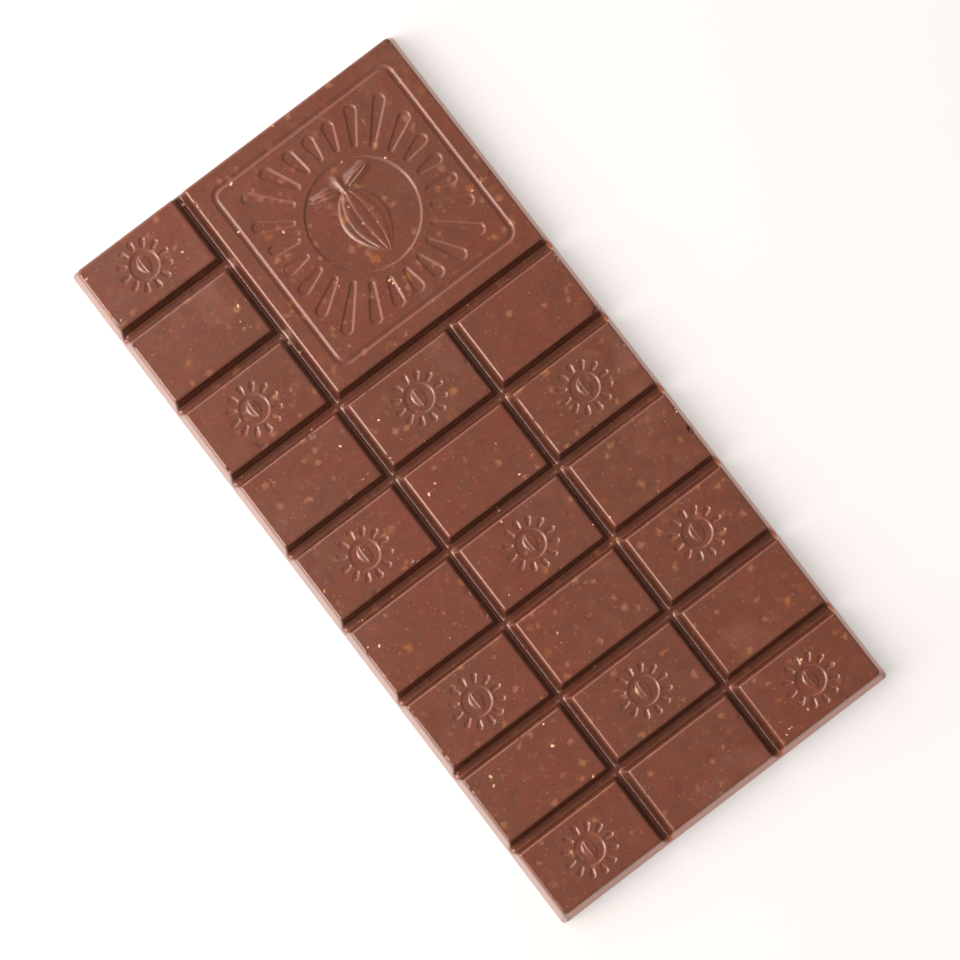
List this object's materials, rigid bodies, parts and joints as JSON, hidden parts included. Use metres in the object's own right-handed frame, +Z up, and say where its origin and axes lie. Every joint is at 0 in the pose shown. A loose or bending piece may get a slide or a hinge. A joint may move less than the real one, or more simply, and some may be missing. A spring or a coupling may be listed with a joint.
{
  "type": "chocolate bar",
  "caption": "Moulded milk chocolate bar of small break-off tiles and one large square panel, parted by deep grooves, stamped with a cocoa pod in a sunburst.",
  "frame": {"origin": "middle of the flat underside", "axes": "+Y along the bar's length towards the large panel's end, +X across the bar towards the panel's side, +Z up out of the moulded face"},
  "size_m": [0.078, 0.1574, 0.007],
  "materials": {
    "milk_chocolate": "satin"
  },
  "bodies": {
    "root": {"chocolate_bar": "milk_chocolate"}
  },
  "joints": []
}
